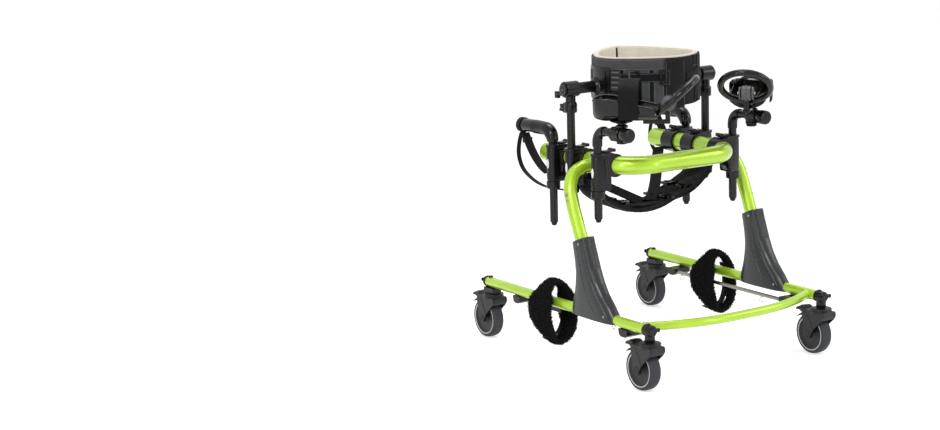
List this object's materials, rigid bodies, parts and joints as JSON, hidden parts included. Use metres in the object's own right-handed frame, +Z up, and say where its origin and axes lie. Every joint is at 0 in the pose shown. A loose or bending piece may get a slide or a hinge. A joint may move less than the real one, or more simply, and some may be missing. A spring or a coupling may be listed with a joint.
{
  "type": "gait trainer walker",
  "caption": "Child's gait trainer: low castered base, telescoping U-shaped upper rail, push handles, chest ring, forearm troughs with hand rings, hip sling and ankle cuffs.",
  "frame": {"origin": "on the floor, at the centre of the walker's footprint", "axes": "+Z up; the walker drives towards -Y, the end with the front bow; +X is the user's left"},
  "size_m": [0.594, 0.7388, 0.7214],
  "materials": {
    "lime_paint": "gloss metallic paint",
    "black_moulding": "satin",
    "charcoal_moulding": "satin",
    "black_tube": "satin black finish",
    "bright_steel": "polished",
    "tyre": "matte",
    "dark_textile": "woven"
  },
  "bodies": {
    "base": {"leg_shroud_right": "charcoal_moulding", "front_bow": "lime_paint", "rail_end_rear_right": "black_moulding", "ankle_rod_left": "bright_steel", "rail_end_front_left": "black_moulding", "base_rail_left": "lime_paint", "rail_end_rear_left": "black_moulding", "base_rail_right": "lime_paint", "rail_end_front_right": "black_moulding", "ankle_rod_right": "bright_steel", "leg_shroud_left": "charcoal_moulding"},
    "upper": {"hip_sling": "dark_textile", "clamp_handle_right": "black_moulding", "clamp_chest_left": "black_moulding", "clamp_arm_right": "black_moulding", "clamp_chest_right": "black_moulding", "clamp_arm_left": "black_moulding", "upper_frame": "lime_paint", "clamp_handle_left": "black_moulding"},
    "handle_left": {"push_handle_left": "black_tube"},
    "arm_mast_left": {"arm_post_left": "black_tube"},
    "saddle_left": {"arm_saddle_left": "charcoal_moulding"},
    "trough_left": {"forearm_trough_left": "black_moulding"},
    "ring_left": {"hand_ring_left": "black_moulding"},
    "ankle_left": {"ankle_carriage_left": "black_moulding", "ankle_cuff_left": "dark_textile"},
    "trigger_handle_left": {"trigger_handle_left": "black_moulding"},
    "trigger_chest_left": {"trigger_chest_left": "black_moulding"},
    "trigger_arm_left": {"trigger_arm_left": "black_moulding"},
    "handle_right": {"push_handle_right": "black_tube"},
    "arm_mast_right": {"arm_post_right": "black_tube"},
    "saddle_right": {"arm_saddle_right": "charcoal_moulding"},
    "trough_right": {"forearm_trough_right": "black_moulding"},
    "ring_right": {"hand_ring_right": "black_moulding"},
    "ankle_right": {"ankle_carriage_right": "black_moulding", "ankle_cuff_right": "dark_textile"},
    "trigger_handle_right": {"trigger_handle_right": "black_moulding"},
    "trigger_chest_right": {"trigger_chest_right": "black_moulding"},
    "trigger_arm_right": {"trigger_arm_right": "black_moulding"},
    "chest_mast": {"chest_post_left": "black_tube", "chest_post_right": "black_tube"},
    "chest_prompt": {"chest_arm_left": "black_moulding", "chest_arm_right": "black_moulding", "chest_pad": "dark_textile"},
    "caster_front_right": {"caster_fork_front_right": "charcoal_moulding"},
    "wheel_front_right": {"wheel_front_right": "tyre"},
    "brake_front_right": {"brake_lever_front_right": "black_moulding"},
    "lock_front_right": {"swivel_lock_front_right": "black_moulding"},
    "caster_front_left": {"caster_fork_front_left": "charcoal_moulding"},
    "wheel_front_left": {"wheel_front_left": "tyre"},
    "brake_front_left": {"brake_lever_front_left": "black_moulding"},
    "lock_front_left": {"swivel_lock_front_left": "black_moulding"},
    "caster_rear_right": {"caster_fork_rear_right": "charcoal_moulding"},
    "wheel_rear_right": {"wheel_rear_right": "tyre"},
    "brake_rear_right": {"brake_lever_rear_right": "black_moulding"},
    "lock_rear_right": {"swivel_lock_rear_right": "black_moulding"},
    "caster_rear_left": {"caster_fork_rear_left": "charcoal_moulding"},
    "wheel_rear_left": {"wheel_rear_left": "tyre"},
    "brake_rear_left": {"brake_lever_rear_left": "black_moulding"},
    "lock_rear_left": {"swivel_lock_rear_left": "black_moulding"}
  },
  "joints": [
    {"name": "upper_height", "type": "slide", "parent": "base", "child": "upper", "axis": [0, 0.3859, 0.9225], "range_m": [-0.025, 0.06]},
    {"name": "chest_height", "type": "slide", "parent": "upper", "child": "chest_mast", "axis": [0, 0, 1], "range_m": [-0.08, 0.05]},
    {"name": "chest_tilt", "type": "hinge", "parent": "chest_mast", "child": "chest_prompt", "pos_m": [0, 0.02306, 0.65438], "axis": [1, 0, 0], "range_deg": [-20, 20]},
    {"name": "handle_height_left", "type": "slide", "parent": "upper", "child": "handle_left", "axis": [0, 0, 1], "range_m": [0, 0.08]},
    {"name": "arm_height_left", "type": "slide", "parent": "upper", "child": "arm_mast_left", "axis": [0, 0, 1], "range_m": [-0.02, 0.05]},
    {"name": "saddle_slide_left", "type": "slide", "parent": "arm_mast_left", "child": "saddle_left", "axis": [0, 1, 0], "range_m": [-0.002, 0.03]},
    {"name": "trough_swivel_left", "type": "hinge", "parent": "saddle_left", "child": "trough_left", "pos_m": [0.196, -0.16294, 0.59738], "axis": [0, 0, 1], "range_deg": [-15, 40]},
    {"name": "ring_tilt_left", "type": "hinge", "parent": "trough_left", "child": "ring_left", "pos_m": [0.11706, -0.23655, 0.63832], "axis": [-0.682, 0.7314, 0], "range_deg": [-8, 8]},
    {"name": "ankle_slide_left", "type": "slide", "parent": "base", "child": "ankle_left", "axis": [0, 1, 0], "range_m": [-0.035, 0.06]},
    {"name": "trigger_handle_left_lift", "type": "hinge", "parent": "upper", "child": "trigger_handle_left", "pos_m": [0.192, 0.10006, 0.51278], "axis": [0, 1, 0], "range_deg": [0, 35]},
    {"name": "trigger_chest_left_lift", "type": "hinge", "parent": "upper", "child": "trigger_chest_left", "pos_m": [0.192, 0.02306, 0.51278], "axis": [0, 1, 0], "range_deg": [0, 35]},
    {"name": "trigger_arm_left_lift", "type": "hinge", "parent": "upper", "child": "trigger_arm_left", "pos_m": [0.192, -0.08094, 0.51278], "axis": [0, 1, 0], "range_deg": [0, 35]},
    {"name": "handle_height_right", "type": "slide", "parent": "upper", "child": "handle_right", "axis": [0, 0, 1], "range_m": [0, 0.08]},
    {"name": "arm_height_right", "type": "slide", "parent": "upper", "child": "arm_mast_right", "axis": [0, 0, 1], "range_m": [-0.02, 0.05]},
    {"name": "saddle_slide_right", "type": "slide", "parent": "arm_mast_right", "child": "saddle_right", "axis": [0, 1, 0], "range_m": [-0.002, 0.03]},
    {"name": "trough_swivel_right", "type": "hinge", "parent": "saddle_right", "child": "trough_right", "pos_m": [-0.196, -0.16294, 0.59738], "axis": [0, 0, -1], "range_deg": [-15, 40]},
    {"name": "ring_tilt_right", "type": "hinge", "parent": "trough_right", "child": "ring_right", "pos_m": [-0.11706, -0.23655, 0.63832], "axis": [-0.682, -0.7314, 0], "range_deg": [-8, 8]},
    {"name": "ankle_slide_right", "type": "slide", "parent": "base", "child": "ankle_right", "axis": [0, 1, 0], "range_m": [-0.035, 0.06]},
    {"name": "trigger_handle_right_lift", "type": "hinge", "parent": "upper", "child": "trigger_handle_right", "pos_m": [-0.192, 0.10006, 0.51278], "axis": [0, -1, 0], "range_deg": [0, 35]},
    {"name": "trigger_chest_right_lift", "type": "hinge", "parent": "upper", "child": "trigger_chest_right", "pos_m": [-0.192, 0.02306, 0.51278], "axis": [0, -1, 0], "range_deg": [0, 35]},
    {"name": "trigger_arm_right_lift", "type": "hinge", "parent": "upper", "child": "trigger_arm_right", "pos_m": [-0.192, -0.08094, 0.51278], "axis": [0, -1, 0], "range_deg": [0, 35]},
    {"name": "swivel_front_right", "type": "hinge", "parent": "base", "child": "caster_front_right", "pos_m": [-0.26, -0.34094, 0.11938], "axis": [0, 0, 1], "continuous": true},
    {"name": "spin_front_right", "type": "hinge", "parent": "caster_front_right", "child": "wheel_front_right", "pos_m": [-0.26, -0.31594, 0.04938], "axis": [1, 0, 0], "continuous": true},
    {"name": "brake_front_right_press", "type": "hinge", "parent": "caster_front_right", "child": "brake_front_right", "pos_m": [-0.26, -0.29394, 0.10438], "axis": [1, 0, 0], "range_deg": [-12, 0]},
    {"name": "lock_front_right_turn", "type": "hinge", "parent": "base", "child": "lock_front_right", "pos_m": [-0.26, -0.35534, 0.14738], "axis": [0, 1, 0], "range_deg": [0, 90]},
    {"name": "swivel_front_left", "type": "hinge", "parent": "base", "child": "caster_front_left", "pos_m": [0.26, -0.34094, 0.11938], "axis": [0, 0, 1], "continuous": true},
    {"name": "spin_front_left", "type": "hinge", "parent": "caster_front_left", "child": "wheel_front_left", "pos_m": [0.26, -0.31594, 0.04938], "axis": [1, 0, 0], "continuous": true},
    {"name": "brake_front_left_press", "type": "hinge", "parent": "caster_front_left", "child": "brake_front_left", "pos_m": [0.26, -0.29394, 0.10438], "axis": [1, 0, 0], "range_deg": [-12, 0]},
    {"name": "lock_front_left_turn", "type": "hinge", "parent": "base", "child": "lock_front_left", "pos_m": [0.26, -0.35534, 0.14738], "axis": [0, 1, 0], "range_deg": [0, 90]},
    {"name": "swivel_rear_right", "type": "hinge", "parent": "base", "child": "caster_rear_right", "pos_m": [-0.26, 0.29506, 0.11938], "axis": [0, 0, 1], "continuous": true},
    {"name": "spin_rear_right", "type": "hinge", "parent": "caster_rear_right", "child": "wheel_rear_right", "pos_m": [-0.26, 0.32006, 0.04938], "axis": [1, 0, 0], "continuous": true},
    {"name": "brake_rear_right_press", "type": "hinge", "parent": "caster_rear_right", "child": "brake_rear_right", "pos_m": [-0.26, 0.34206, 0.10438], "axis": [1, 0, 0], "range_deg": [-12, 0]},
    {"name": "lock_rear_right_turn", "type": "hinge", "parent": "base", "child": "lock_rear_right", "pos_m": [-0.26, 0.32346, 0.14738], "axis": [0, 1, 0], "range_deg": [0, 90]},
    {"name": "swivel_rear_left", "type": "hinge", "parent": "base", "child": "caster_rear_left", "pos_m": [0.26, 0.29506, 0.11938], "axis": [0, 0, 1], "continuous": true},
    {"name": "spin_rear_left", "type": "hinge", "parent": "caster_rear_left", "child": "wheel_rear_left", "pos_m": [0.26, 0.32006, 0.04938], "axis": [1, 0, 0], "continuous": true},
    {"name": "brake_rear_left_press", "type": "hinge", "parent": "caster_rear_left", "child": "brake_rear_left", "pos_m": [0.26, 0.34206, 0.10438], "axis": [1, 0, 0], "range_deg": [-12, 0]},
    {"name": "lock_rear_left_turn", "type": "hinge", "parent": "base", "child": "lock_rear_left", "pos_m": [0.26, 0.32346, 0.14738], "axis": [0, 1, 0], "range_deg": [0, 90]}
  ]
}
